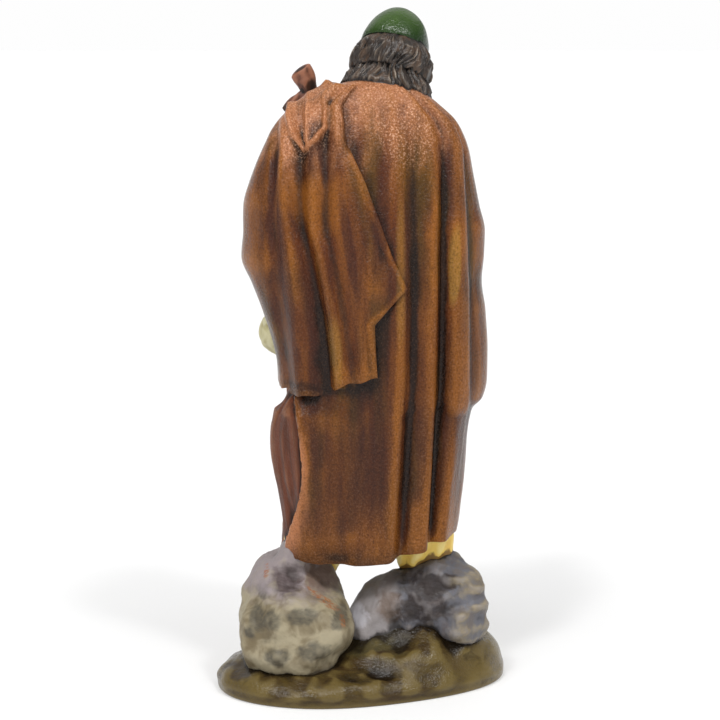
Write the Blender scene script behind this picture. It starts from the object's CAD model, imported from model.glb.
import math
import bpy
import numpy as np
from mathutils import Matrix, Vector


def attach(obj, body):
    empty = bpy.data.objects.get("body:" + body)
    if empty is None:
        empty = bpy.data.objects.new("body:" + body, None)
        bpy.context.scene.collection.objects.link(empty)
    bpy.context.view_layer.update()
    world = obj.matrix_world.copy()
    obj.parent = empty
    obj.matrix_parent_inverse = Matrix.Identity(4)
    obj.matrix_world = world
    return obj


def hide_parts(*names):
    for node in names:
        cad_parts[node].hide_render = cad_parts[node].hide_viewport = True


# Shepherd figurine: one painted and varnished casting, seen from behind in the photo.
# Shapes are drawn in millimetres on the casting's own drawing and turned to metres at the end.

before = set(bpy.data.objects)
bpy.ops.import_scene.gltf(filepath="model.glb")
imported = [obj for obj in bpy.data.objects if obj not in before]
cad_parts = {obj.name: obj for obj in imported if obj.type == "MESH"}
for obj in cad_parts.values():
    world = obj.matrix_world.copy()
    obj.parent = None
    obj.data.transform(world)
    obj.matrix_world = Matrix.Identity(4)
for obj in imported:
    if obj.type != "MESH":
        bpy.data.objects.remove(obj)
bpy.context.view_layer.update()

fullTurn = 2 * math.pi
drawingShift = (-0.045, 0.009, 0.0)  # mm; the casting's box is centred on its origin
paintNames = ["cloakBrown", "tunicRusset", "shirtCream", "breechesYellow", "hairBrown", "capGreen", "skin",
              "branchBrown", "leggingGrey", "boulderCream", "rockGrey", "plinthOlive", "lashDark"]


def pickOnly(*objs):
    bpy.ops.object.select_all(action="DESELECT")
    for obj in objs:
        obj.select_set(True)
    bpy.context.view_layer.objects.active = objs[-1]


def applyModifiers(obj):
    pickOnly(obj)
    for modifier in list(obj.modifiers):
        bpy.ops.object.modifier_apply(modifier=modifier.name)


def readEach(items, name, kind=int, width=1):  # one property of a mesh's points, edges, corners or faces
    values = np.empty(len(items) * width, kind)
    items.foreach_get(name, values)
    return values if width == 1 else values.reshape(-1, width)


def readPoints(obj):
    return readEach(obj.data.vertices, "co", float, 3)


def writePoints(obj, points):
    obj.data.vertices.foreach_set("co", np.ascontiguousarray(points, dtype=float).ravel())
    obj.data.update()


def readNormals(obj):
    return readEach(obj.data.vertices, "normal", float, 3)


def facesOnEdges(mesh):
    return np.bincount(readEach(mesh.loops, "edge_index"), minlength=len(mesh.edges))


def openEdges(obj):  # edges that don't have two faces; the union needs none
    return int((facesOnEdges(obj.data) != 2).sum())


def toMetres(points):
    return (np.asarray(points) + np.array(drawingShift)) * 0.001


def turnFacesOut(obj):
    pickOnly(obj)
    bpy.ops.object.mode_set(mode="EDIT")
    bpy.ops.mesh.select_all(action="SELECT")
    bpy.ops.mesh.normals_make_consistent(inside=False)
    bpy.ops.object.mode_set(mode="OBJECT")


def smoothCurve(keys, values, at):  # through values at rising keys, with no overshoot
    keys, values = np.asarray(keys, float), np.asarray(values, float)
    at = np.clip(np.asarray(at, float), keys[0], keys[-1])
    span = np.diff(keys)
    rise = np.diff(values) / span
    slope = np.concatenate([rise[:1], np.zeros(len(keys) - 2), rise[-1:]])
    product = rise[:-1] * rise[1:]
    same = product > 0
    slope[1:-1][same] = 2 * product[same] / (rise[:-1] + rise[1:])[same]
    i = np.clip(np.searchsorted(keys, at, side="right") - 1, 0, len(keys) - 2)
    t = (at - keys[i]) / span[i]
    return (values[i] * (1 + 2 * t) * (1 - t) ** 2 + values[i + 1] * t * t * (3 - 2 * t)
            + span[i] * (slope[i] * t * (1 - t) ** 2 - slope[i + 1] * t * t * (1 - t)))


def ramp(value, low, high):
    t = np.clip((value - low) / (high - low), 0, 1)
    return t * t * (3 - 2 * t)


def ripple(x, y, z, size, seed):  # a soft wandering field from a few crossing waves, about -1 to 1
    random = np.random.default_rng(seed)
    total = np.zeros_like(x + y + z)
    for _ in range(7):
        way = random.normal(size=3)
        way /= np.linalg.norm(way)
        pitch = size * random.uniform(0.6, 1.7)
        total = total + np.sin((way[0] * x + way[1] * y + way[2] * z) * fullTurn / pitch + random.uniform(0, 6.3))
    return total / 3.4


def srgb(red, green, blue):  # a colour as seen, 0 to 255, to the shader's linear colour
    def channel(value):
        value = value / 255
        return value / 12.92 if value <= 0.04045 else ((value + 0.055) / 1.055) ** 2.4
    return channel(red), channel(green), channel(blue), 1.0


class Wire:
    # one socket of a shader tree; an expression on wires adds its Math nodes
    def __init__(self, tree, socket=None):
        self.tree = tree
        self.socket = socket

    def node(self, kind, settings=None, inputs=None, output=0):
        made = self.tree.nodes.new(kind)
        for name, value in (settings or {}).items():
            setattr(made, name, value)
        for name, value in (inputs or {}).items():
            if isinstance(value, Wire):
                self.tree.links.new(value.socket, made.inputs[name])
            else:
                made.inputs[name].default_value = value
        return Wire(self.tree, made.outputs[output])

    def math(self, operation, first, second):
        return self.node("ShaderNodeMath", {"operation": operation}, {0: first, 1: second})

    def __add__(self, other):
        return self.math("ADD", self, other)

    def __radd__(self, other):
        return self.math("ADD", other, self)

    def __sub__(self, other):
        return self.math("SUBTRACT", self, other)

    def __rsub__(self, other):
        return self.math("SUBTRACT", other, self)

    def __mul__(self, other):
        return self.math("MULTIPLY", self, other)

    def __rmul__(self, other):
        return self.math("MULTIPLY", other, self)

    def above(self, low, high):  # 0 below low, 1 above high
        return self.node("ShaderNodeMapRange", {"interpolation_type": "SMOOTHSTEP"},
                         {"Value": self, "From Min": low, "From Max": high})

    def tint(self, factor, first, second):  # first paint where factor is 0, second where it is 1
        return self.node("ShaderNodeMix", {"data_type": "RGBA"}, {0: factor, 6: first, 7: second}, 2)

    def place(self):
        return self.node("ShaderNodeTexCoord", output=3)

    def noise(self, size, detail=2.0, stretch=(1, 1, 1), turn=(0, 0, 0), rough=0.5, wander=0.0):
        # size in mm; stretch is how long the marks are along each axis
        where = self.node("ShaderNodeMapping", inputs={
            "Vector": self.place(), "Rotation": turn, "Scale": tuple(1000 / (size * s) for s in stretch)})
        return self.node("ShaderNodeTexNoise", inputs={
            "Vector": where, "Scale": 1.0, "Detail": detail, "Roughness": rough, "Distortion": wander})

    def reading(self, name):  # an attribute of the casting's points
        return self.node("ShaderNodeAttribute", {"attribute_name": name}, output=2)

    def level(self):  # height in mm
        return self.node("ShaderNodeSeparateXYZ", inputs={0: self.place()}, output=2) * 1000

    def spot(self, centre, size, wobble=0.0, stretch=(1, 1, 1), tilt=0.0):
        # 1 inside a soft blot; size in mm, tilt in degrees about y
        shift = self.node("ShaderNodeVectorMath", {"operation": "SUBTRACT"},
                          {0: self.place(), 1: tuple(v * 0.001 for v in centre)})
        if tilt:
            shift = self.node("ShaderNodeVectorRotate", {"rotation_type": "Y_AXIS"},
                              {"Vector": shift, "Angle": math.radians(tilt)})
        scaled = self.node("ShaderNodeVectorMath", {"operation": "MULTIPLY"},
                           {0: shift, 1: tuple(1000 / (size * s) for s in stretch)})
        reach = self.node("ShaderNodeVectorMath", {"operation": "LENGTH"}, {0: scaled}, 1)
        if isinstance(wobble, Wire):
            reach = reach + wobble
        return 1 - reach.above(0.55, 1.1)

    def bump(self, height, strength, depth, normal=None):  # depth in mm
        inputs = {"Height": height, "Strength": strength, "Distance": depth * 0.001}
        if normal:
            inputs["Normal"] = normal
        return self.node("ShaderNodeBump", inputs=inputs)


def finish(name, paintWork, paint):
    material = bpy.data.materials.new(name)
    material.use_nodes = True
    tree = material.node_tree
    shader = tree.nodes["Principled BSDF"]
    shader.inputs["Specular IOR Level"].default_value = paint["shine"]
    for socket, wire in paintWork(Wire(tree)).items():
        tree.links.new(wire.socket, shader.inputs[socket])
    return material


def varnishBump(wire, grain=0.8, brush=0.25, brushStretch=(1, 1, 9)):  # fine stipple over brush marks
    fine = wire.noise(0.72, 2.5, rough=0.62)
    strokes = wire.noise(0.9, 2.0, brushStretch, rough=0.6)
    under = wire.bump(strokes, brush, 0.25)
    return wire.bump(fine, grain, 0.35, under)


cloakPaint = {
    "base": srgb(92, 45, 14), "dark": srgb(48, 23, 10), "deep": srgb(18, 10, 7), "ochre": srgb(150, 90, 26),
    "peach": srgb(176, 114, 74), "olive": srgb(76, 60, 12), "wine": srgb(54, 25, 19), "glint": srgb(226, 180, 148),
    "straw": srgb(160, 124, 52),
    # broad shaded valleys of the thrown end: centre, size, how long along each axis, tilt
    "darkFolds": (((13.2, 24, 112), 8.0, (0.42, 3, 2.8), -8), ((21.5, 24, 122), 6.0, (0.3, 3, 3.0), -5),
                  ((3.4, 24, 132), 6.0, (0.3, 3, 3.0), -9), ((-14.0, 24, 128), 7.0, (0.35, 3, 4.0), 0),
                  ((-5.0, 24, 138), 7.0, (0.4, 3, 2.6), 4)),
    # lit ridges and rubbed places: centre, size, how long along each axis, tilt, tone, weight
    "lights": (((20.8, 18, 64), 6.2, (0.85, 3, 4.0), 0, "peach", 0.92),
               ((19.5, 13, 166), 9.0, (0.9, 3, 1.2), 0, "peach", 0.7),
               ((14.0, 22, 146), 8.0, (1.2, 3, 1.4), 0, "ochre", 0.5),
               ((-26.6, 20, 127), 5.0, (0.42, 3, 2.6), 0, "straw", 0.42),
               ((-11.0, 20, 120), 6.0, (0.3, 3, 4.0), 0, "straw", 0.2),
               ((8.0, 24, 104), 6.0, (0.4, 3, 2.2), -8, "straw", 0.25)),
    # dark smudges at the hems: centre, size, how long along each axis, weight
    "smudges": (((18.0, 22, 91.5), 5.0, (2.0, 3, 0.6), 0.6), ((7.0, 23, 41.0), 3.2, (1.2, 3, 0.8), 0.8)),
    "hem": (38.5, 47), "shoulder": (150, 184),  # heights between which the dark hem ends and the pale shoulder starts
    "shine": 0.24,
}


def cloakWork(wire):
    p = cloakPaint
    groove, fold = wire.reading("groove"), wire.reading("fold")
    height = wire.level()
    streak = wire.noise(3.4, 2.0, (1, 1, 12), wander=0.3, rough=0.45)
    thin = wire.noise(1.0, 3.0, (1, 1, 14), wander=0.3)
    broad = wire.noise(8.0, 2.0, (1, 1, 6), wander=0.5)
    other = wire.noise(9.0, 2.0, (1, 1, 5), (0.3, 0.2, 1.0))
    speck = wire.noise(0.5, 2.0, (1, 1, 1.2), rough=0.65)
    colour = wire.tint(broad.above(0.34, 0.68) * 0.8, p["base"], p["wine"])
    colour = wire.tint(other.above(0.46, 0.68) * 0.6, colour, p["olive"])
    colour = wire.tint(streak.above(0.40, 0.80) * 0.34, colour, p["ochre"])
    colour = wire.tint((1 - streak).above(0.46, 0.84) * 0.3, colour, p["dark"])
    colour = wire.tint(thin.above(0.50, 0.72) * 0.15, colour, p["dark"])
    low = 1 - height.above(44, 140)
    colour = wire.tint(low * 0.6, colour, p["dark"])
    shoulder = (height + (streak - 0.5) * 34).above(*p["shoulder"])
    colour = wire.tint(shoulder * 0.85, colour, p["peach"])
    ridge = (0 - groove).above(0.05, 0.6) * 0.4 + (0 - fold).above(0.05, 1.1) * 0.7
    colour = wire.tint(ridge * (0.1 + streak * 0.85), colour, p["ochre"])
    for centre, size, stretch, tilt, tone, weight in p["lights"]:
        blot = wire.spot(centre, size, (broad - 0.5) * 1.8, stretch, tilt)
        colour = wire.tint(blot * weight, colour, p[tone])
    for centre, size, stretch, tilt in p["darkFolds"]:
        blot = wire.spot(centre, size, (broad - 0.5) * 0.9, stretch, tilt)
        colour = wire.tint(blot * 0.6, colour, p["wine"])
    wash = (groove * 0.5 + fold * 0.8 + (broad - 0.5) * 0.25).above(0.02, 0.80)
    seam = wire.spot((5.2, 16, 169), 9.0, 0.0, (0.45, 3, 1.5)) + wire.spot((3.0, 9, 178), 5.0, 0.0, (1, 3, 1))
    beside = wire.spot((-4.0, 22, 147), 14.0, 0.0, (0.5, 3, 1.3), -26)
    wash = wash * (0.88 - seam.above(0, 1) * 0.5 - beside * 0.38)
    colour = wire.tint(wash, colour, p["deep"])
    gathered = wire.spot((14.4, 16, 167.5), 9.5, 0.0, (1.0, 3, 1.2))
    colour = wire.tint(gathered * (0 - groove).above(0.05, 0.55) * 0.75, colour, p["peach"])
    colour = wire.tint((1 - height.above(*p["hem"])) * 0.6, colour, p["deep"])
    for centre, size, stretch, weight in p["smudges"]:
        colour = wire.tint(wire.spot(centre, size, broad - 0.5, stretch) * weight, colour, p["deep"])
    colour = wire.tint(speck.above(0.47, 0.74) * 0.48, colour, p["deep"])
    rubbed = (wire.spot((-13.0, 16, 164), 9.0, broad - 0.5, (1, 3, 1))
              + wire.spot((17.0, 14, 163), 8.0, broad - 0.5, (1, 3, 1)))
    worn = (0.03 + shoulder * 0.5 + rubbed * 0.3 + (0 - fold).above(0.1, 0.9) * 0.05) * (1 - speck).above(0.50, 0.72)
    colour = wire.tint(worn, colour, p["glint"])
    return {"Base Color": colour, "Roughness": 0.12 + speck * 0.2, "Normal": varnishBump(wire, 0.9)}


tunicPaint = {
    "base": srgb(98, 52, 32), "dark": srgb(64, 34, 22), "deep": srgb(26, 16, 12), "light": srgb(142, 94, 64),
    "shine": 0.2,
}


def tunicWork(wire):
    p = tunicPaint
    groove, fold = wire.reading("groove"), wire.reading("fold")
    streak = wire.noise(1.6, 3.0, (1, 1, 14), wander=0.5)
    colour = wire.tint(streak.above(0.42, 0.62) * 0.6, p["base"], p["dark"])
    colour = wire.tint((0 - groove).above(0.1, 0.8) * 0.6, colour, p["light"])
    colour = wire.tint((groove * 0.7 + fold * 0.6).above(0.08, 0.9) * 0.85, colour, p["deep"])
    return {"Base Color": colour, "Roughness": 0.36 + wire.noise(2.0) * 0.2, "Normal": varnishBump(wire)}


capPaint = {
    "base": srgb(24, 46, 17), "light": srgb(62, 90, 30), "dark": srgb(8, 12, 8),
    "shine": 0.4,
}


def capWork(wire):
    p = capPaint
    height = wire.level()
    patch = wire.noise(5.0, 2.0, wander=0.5)
    colour = wire.tint(height.above(190, 199) * (0.3 + patch * 0.8), p["base"], p["light"])
    colour = wire.tint((wire.reading("groove") + wire.reading("fold") * 0.4).above(0.1, 0.5), colour, p["dark"])
    grain = wire.bump(wire.noise(0.8, 2.5), 0.9, 0.3)
    return {"Base Color": colour, "Roughness": 0.18 + patch * 0.12, "Normal": grain}


hairPaint = {
    "base": srgb(46, 38, 33), "light": srgb(158, 146, 130), "warm": srgb(88, 66, 48), "dark": srgb(6, 5, 5),
    "shine": 0.42,
}


def hairWork(wire):
    p = hairPaint
    groove = wire.reading("groove")
    patch = wire.noise(3.4, 3.0, (1, 1, 1.6), wander=0.6)
    colour = wire.tint(patch.above(0.45, 0.62) * 0.6, p["base"], p["warm"])
    colour = wire.tint((0 - groove).above(0.10, 0.8) * patch.above(0.32, 0.66) * 0.75, colour, p["light"])
    colour = wire.tint((groove + wire.reading("fold") * 0.4).above(0.06, 0.5) * 0.95, colour, p["dark"])
    strands = wire.bump(wire.noise(0.42, 2.5, (1, 1, 6), wander=0.3), 0.9, 0.3)
    return {"Base Color": colour, "Roughness": 0.2 + patch * 0.2, "Normal": strands}


branchPaint = {
    "base": srgb(98, 54, 36), "light": srgb(168, 114, 88), "dark": srgb(46, 25, 18), "deep": srgb(12, 8, 6),
    # the stub's end, the stem under the knob and the line across its cut top
    "darkMarks": (((24.5, -12.6, 169.4), 5.0, (1, 1, 1), 0), ((15.0, -10.5, 177.6), 2.3, (0.8, 3, 1.3), 20),
                  ((18.3, -10.5, 182.7), 0.6, (3.6, 9, 0.9), -29)),
    "shine": 0.35,
}


def branchWork(wire):
    p = branchPaint
    groove = wire.reading("groove")
    streak = wire.noise(1.1, 3.0, (1, 1, 7), wander=0.8)
    colour = wire.tint(streak.above(0.50, 0.62) * 0.75, p["base"], p["dark"])
    colour = wire.tint((0 - groove).above(0.15, 0.8) * 0.7, colour, p["light"])
    colour = wire.tint((groove + wire.reading("fold") * 0.5).above(0.1, 0.55) * 0.9, colour, p["deep"])
    for centre, size, stretch, tilt in p["darkMarks"]:
        colour = wire.tint(wire.spot(centre, size, (streak - 0.5) * 0.8, stretch, tilt) * 0.85, colour, p["deep"])
    return {"Base Color": colour, "Roughness": 0.36 + streak * 0.2, "Normal": varnishBump(wire, 0.4, 0.4)}


def plainWork(paint, size=2.5, patchStrength=0.5):  # a worn paint with a dark wash in its hollows
    def work(wire):
        groove = wire.reading("groove")
        patch = wire.noise(size, 3.0, wander=0.4)
        colour = wire.tint(patch.above(0.4, 0.66) * patchStrength, paint["base"], paint["dark"])
        colour = wire.tint((0 - groove).above(0.1, 0.7) * 0.7, colour, paint["light"])
        colour = wire.tint((groove + wire.reading("fold") * 0.5).above(0.1, 0.55) * 0.9, colour, paint["deep"])
        return {"Base Color": colour, "Roughness": 0.38 + patch * 0.18, "Normal": varnishBump(wire, 0.35, 0.2)}
    return work


creamPaint = {"base": srgb(178, 170, 124), "dark": srgb(140, 126, 80), "light": srgb(206, 200, 164),
              "deep": srgb(60, 46, 28), "shine": 0.35}
yellowPaint = {"base": srgb(240, 206, 100), "dark": srgb(214, 168, 74), "light": srgb(250, 234, 160),
               "deep": srgb(112, 78, 34), "shine": 0.35}
skinPaint = {"base": srgb(182, 122, 92), "dark": srgb(156, 90, 66), "light": srgb(206, 156, 124),
             "deep": srgb(84, 44, 32), "shine": 0.35}
leggingPaint = {"base": srgb(128, 120, 114), "dark": srgb(94, 84, 80), "light": srgb(168, 162, 154),
                "deep": srgb(38, 32, 28), "shine": 0.3}
lashPaint = {"base": srgb(40, 28, 24), "dark": srgb(30, 22, 18), "light": srgb(60, 44, 36),
             "deep": srgb(20, 14, 12), "shine": 0.3}

boulderPaint = {
    "cream": srgb(110, 98, 75), "pale": srgb(158, 148, 123), "grey": srgb(66, 63, 56), "mid": srgb(104, 98, 84),
    "lavender": srgb(140, 130, 132), "hollow": srgb(66, 54, 54), "orange": srgb(146, 86, 42),
    "deep": srgb(34, 26, 20), "brown": srgb(104, 82, 66),
    # soft grey blots: centre, size in mm, how long along each axis
    "blots": (((17.2, 27, 25.9), 2.9, (1.5, 8, 0.8)), ((24.5, 27, 14.0), 3.2, (1.1, 8, 0.9)),
              ((13.8, 27, 15.8), 3.6, (1.25, 8, 0.75)), ((26.2, 27, 24.8), 2.6, (1, 8, 1)),
              ((30.7, 26, 24.4), 2.8, (0.8, 8, 1.3)), ((29.0, 24, 31.7), 2.0, (1, 8, 1)),
              ((6.5, 24, 24.4), 2.4, (1, 8, 1)), ((32.7, 24, 20.0), 1.5, (1, 8, 1.2))),
    # thin orange touches: centre, size, how long along each axis, tilt
    "orangeMarks": (((11.2, 22, 28.9), 0.9, (7.6, 12, 0.8), 32), ((5.6, 22, 23.4), 1.0, (1.8, 8, 0.9), 65),
                    ((28.2, 16, 36.4), 1.2, (0.9, 8, 1.6), 10)),
    "shine": 0.25,
}


def boulderWork(wire):
    p = boulderPaint
    wobble = (wire.noise(2.6, 3.0, wander=0.5) - 0.5) * 1.3
    patch = wire.noise(6.5, 3.0, wander=0.6)
    fine = wire.noise(0.7, 3.0, (2.4, 1, 1))
    colour = wire.tint(patch.above(0.36, 0.64), p["cream"], p["pale"])
    colour = wire.tint(patch.above(0.48, 0.78) * 0.25, colour, p["mid"])
    for centre, size, stretch in p["blots"]:
        blot = wire.spot(centre, size * 1.25, wobble * 0.7, stretch)
        colour = wire.tint(blot * (0.4 + fine * 0.6), colour, p["grey"])
    top = (wire.level() + wobble * 5).above(27.5, 33.5)
    colour = wire.tint(top * 0.9, colour, p["lavender"])
    colour = wire.tint(top * wire.spot((11.0, 12, 32.5), 8.0, wobble, (1, 3, 1)) * 0.8, colour, p["brown"])
    hollow = wire.spot((22.0, 18, 34.4), 5.6, wobble * 0.6, (1.05, 6, 0.8))
    colour = wire.tint(hollow * (0.5 + fine * 0.5), colour, p["hollow"])
    for centre, size, stretch, tilt in p["orangeMarks"]:
        touch = wire.spot(centre, size, wobble, stretch, tilt) * fine.above(0.4, 0.62)
        colour = wire.tint(touch * 0.85, colour, p["orange"])
    groove, fold = wire.reading("groove"), wire.reading("fold")
    colour = wire.tint((0 - groove).above(0.1, 0.7) * 0.4, colour, p["pale"])
    colour = wire.tint((groove * 0.6 + fold * 0.4).above(0.12, 0.90) * 0.8, colour, p["deep"])
    return {"Base Color": colour, "Roughness": 0.4 + patch * 0.16, "Normal": varnishBump(wire, 0.4, 0.35, (4, 1, 1))}


rockPaint = {
    "grey": srgb(98, 92, 90), "blue": srgb(96, 100, 110), "dark": srgb(46, 38, 36), "deep": srgb(24, 19, 16),
    "yellow": srgb(144, 128, 88), "light": srgb(148, 142, 141), "brown": srgb(98, 78, 62),
    "white": srgb(176, 174, 180),
    "darkMarks": (((-19.0, 14, 31.5), 6.6, (1.25, 3, 0.7)), ((-17.5, 14, 24.5), 6.4, (1.3, 3, 0.7)),
                  ((-26.0, 14, 33.0), 3.2, (1, 3, 0.8))),
    "shine": 0.28,
}


def rockWork(wire):
    p = rockPaint
    groove, fold = wire.reading("groove"), wire.reading("fold")
    patch = wire.noise(5.0, 3.0, wander=0.7)
    fine = wire.noise(0.9, 3.0, (2.2, 1, 1))
    across = wire.node("ShaderNodeSeparateXYZ", inputs={0: wire.place()}) * 1000
    wobble = (wire.noise(3.2, 3.0, wander=0.6) - 0.5) * 1.3
    colour = wire.tint(patch.above(0.36, 0.64), p["grey"], p["blue"])
    colour = wire.tint(patch.above(0.48, 0.76) * 0.6, colour, p["brown"])
    stone = (across + wobble * 3).above(-12, -7)
    colour = wire.tint(stone * 0.85, colour, p["light"])
    colour = wire.tint(stone * (1 - patch).above(0.46, 0.70) * 0.35, colour, p["grey"])
    colour = wire.tint(wire.spot((2.4, 12, 21.4), 4.6, wobble, (1, 3, 0.9)) * 0.8, colour, p["white"])
    colour = wire.tint(wire.spot((-8.0, 12, 26.0), 5.0, wobble, (0.9, 3, 1.3)) * 0.7, colour, p["brown"])
    for centre, size, stretch in p["darkMarks"]:
        colour = wire.tint(wire.spot(centre, size * 1.1, wobble, stretch) * (0.6 + fine * 0.5), colour, p["dark"])
    edge = (0 - across).above(24, 30)
    highlight = ((0 - groove).above(0.02, 0.42) + (0 - fold).above(0.05, 0.6) * 0.6) * edge * fine * 0.65
    colour = wire.tint(highlight, colour, p["yellow"])
    colour = wire.tint((0 - groove).above(0.10, 0.60) * 0.35, colour, p["light"])
    colour = wire.tint(wire.spot((-2.0, 10, 33.0), 6.0, wobble, (1.4, 3, 0.8)) * 0.6, colour, p["light"])
    colour = wire.tint((groove * 0.6 + fold * 0.5).above(0.10, 0.85) * 0.85, colour, p["deep"])
    return {"Base Color": colour, "Roughness": 0.34 + patch * 0.2, "Normal": varnishBump(wire, 0.45, 0.4, (4, 1, 1))}


plinthPaint = {
    "olive": srgb(79, 65, 31), "brown": srgb(55, 40, 21), "glaze": srgb(26, 18, 12), "rim": srgb(112, 96, 55),
    "green": srgb(74, 70, 48), "deep": srgb(20, 13, 7),
    # glazed hollows: centre, size, how long along each axis
    "darkMarks": (((-4.5, 23.5, 11), 4.6, (1.5, 0.7, 2)), ((-26.0, 14.0, 15), 4.6, (1.4, 0.7, 2)),
                  ((2.5, 27.0, 8), 3.4, (1.6, 0.7, 2)), ((33.0, 22.0, 8), 4.0, (1.4, 0.8, 2))),
    "shine": 0.24,
}


def plinthWork(wire):
    p = plinthPaint
    groove, fold = wire.reading("groove"), wire.reading("fold")
    patch = wire.noise(4.6, 3.0, (1.7, 1, 0.7), wander=0.8)
    fine = wire.noise(1.3, 3.0, (2.4, 1, 0.8), wander=0.5)
    across = wire.node("ShaderNodeSeparateXYZ", inputs={0: wire.place()}) * 1000
    colour = wire.tint(patch.above(0.24, 0.78), p["olive"], p["brown"])
    colour = wire.tint(fine.above(0.40, 0.80) * 0.5, colour, p["glaze"])
    colour = wire.tint((0 - across).above(18, 38) * patch.above(0.3, 0.6) * 0.6, colour, p["rim"])
    green = wire.spot((-4.0, 12.0, 14.0), 9.0, (patch - 0.5) * 1.4, (1.2, 1.2, 0.8))
    colour = wire.tint(green * 0.55, colour, p["green"])
    colour = wire.tint((0 - groove).above(0.08, 0.5) * 0.6, colour, p["rim"])
    for centre, size, stretch in p["darkMarks"]:
        colour = wire.tint(wire.spot(centre, size, (patch - 0.5) * 2.6, stretch) * 0.4, colour, p["deep"])
    wash = (groove * 0.6 + fold * 0.7 + (patch - 0.5) * 0.3).above(0.05, 0.75)
    colour = wire.tint(wash * 0.85, colour, p["deep"])
    return {"Base Color": colour, "Roughness": 0.1 + patch * 0.16,
            "Normal": varnishBump(wire, 0.7, 0.35, (4, 1.5, 1))}


works = {
    "cloakBrown": (cloakWork, cloakPaint), "tunicRusset": (tunicWork, tunicPaint),
    "shirtCream": (plainWork(creamPaint), creamPaint), "breechesYellow": (plainWork(yellowPaint), yellowPaint),
    "hairBrown": (hairWork, hairPaint), "capGreen": (capWork, capPaint),
    "skin": (plainWork(skinPaint, 3.5), skinPaint), "branchBrown": (branchWork, branchPaint),
    "leggingGrey": (plainWork(leggingPaint, 1.8), leggingPaint), "boulderCream": (boulderWork, boulderPaint),
    "rockGrey": (rockWork, rockPaint), "plinthOlive": (plinthWork, plinthPaint),
    "lashDark": (plainWork(lashPaint), lashPaint),
}
paints = [finish(name, *works[name]) for name in paintNames]
print("finishes mixed:", len(paints))


def givePaint(obj, name):
    for material in paints:
        obj.data.materials.append(material)
    index = paintNames.index(name)
    obj.data.polygons.foreach_set("material_index", [index] * len(obj.data.polygons))
    return obj


def roundForm(name, columns, rows, shape, paint):
    # a ball whose every point is moved by shape(turn, share); share runs 0 to 1 from its lower to its upper pole
    bpy.ops.object.select_all(action="DESELECT")
    bpy.ops.mesh.primitive_uv_sphere_add(segments=columns, ring_count=rows, radius=1)
    obj = bpy.context.active_object
    obj.name = name
    unit = readPoints(obj)
    turn = np.arctan2(unit[:, 1], unit[:, 0]) % fullTurn
    share = np.arccos(np.clip(-unit[:, 2], -1, 1)) / math.pi
    writePoints(obj, toMetres(shape(turn, share)))
    turnFacesOut(obj)
    return givePaint(obj, paint)


def limbForm(name, path, radii, paint, columns=24, rows=40, relief=None, flat=1.0, bluntness=0.6):
    # a round limb along a smooth path with rounded ends; relief(turn, along) swells it in mm
    path, radii = np.array(path, float), np.array(radii, float)
    reach = np.concatenate([[0], np.cumsum(np.linalg.norm(np.diff(path, axis=0), axis=1))])
    keys = reach / reach[-1]
    fine = np.linspace(0, 1, 200)
    line = np.stack([smoothCurve(keys, path[:, i], fine) for i in range(3)], axis=1)
    ahead = np.gradient(line, axis=0)
    ahead /= np.linalg.norm(ahead, axis=1, keepdims=True)
    side = np.zeros_like(line)
    start = np.eye(3)[np.argmin(np.abs(ahead).mean(axis=0))]
    for i in range(len(line)):
        start = start - ahead[i] * (start @ ahead[i])
        start = start / np.linalg.norm(start)
        side[i] = start
    other = np.cross(ahead, side)
    cap = 0.10

    def shape(turn, share):
        along = np.clip((share - cap) / (1 - 2 * cap), 0, 1)
        over = np.where(share < cap, 1 - share / cap, np.where(share > 1 - cap, 1 - (1 - share) / cap, 0))
        angle = over * math.pi / 2
        radius = smoothCurve(keys, radii, along)
        if relief is not None:
            radius = radius + relief(turn, along)
        spread = radius * np.cos(angle)
        pick = np.clip(along * 199, 0, 199)
        i = np.minimum(pick.astype(int), 198)
        t = (pick - i)[:, None]
        def blend(rows):
            return rows[i] * (1 - t) + rows[i + 1] * t
        push = np.sin(angle) * smoothCurve(keys, radii, along) * bluntness * np.where(share < 0.5, -1, 1)
        return (blend(line) + blend(ahead) * push[:, None] + blend(side) * (spread * np.cos(turn))[:, None]
                + blend(other) * (spread * np.sin(turn) * flat)[:, None])
    return roundForm(name, columns, rows, shape, paint)


def ballForm(name, centre, radii, paint, turned=None, columns=40, rows=28):
    matrix = np.array(turned or Matrix.Identity(3))

    def shape(turn, share):
        angle = share * math.pi
        unit = np.stack([np.sin(angle) * np.cos(turn), np.sin(angle) * np.sin(turn), -np.cos(angle)], axis=1)
        return np.array(centre) + (unit * np.array(radii)) @ matrix.T
    return roundForm(name, columns, rows, shape, paint)


def roughen(obj, size, depth):  # a carved unevenness, sizes in mm
    texture = bpy.data.textures.new(obj.name + "Rough", "CLOUDS")
    texture.noise_scale = size * 0.001
    texture.noise_depth = 2
    modifier = obj.modifiers.new("roughen", "DISPLACE")
    modifier.texture = texture
    modifier.strength = depth * 0.001
    modifier.mid_level = 0.5
    modifier.texture_coords = "LOCAL"
    applyModifiers(obj)


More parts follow.
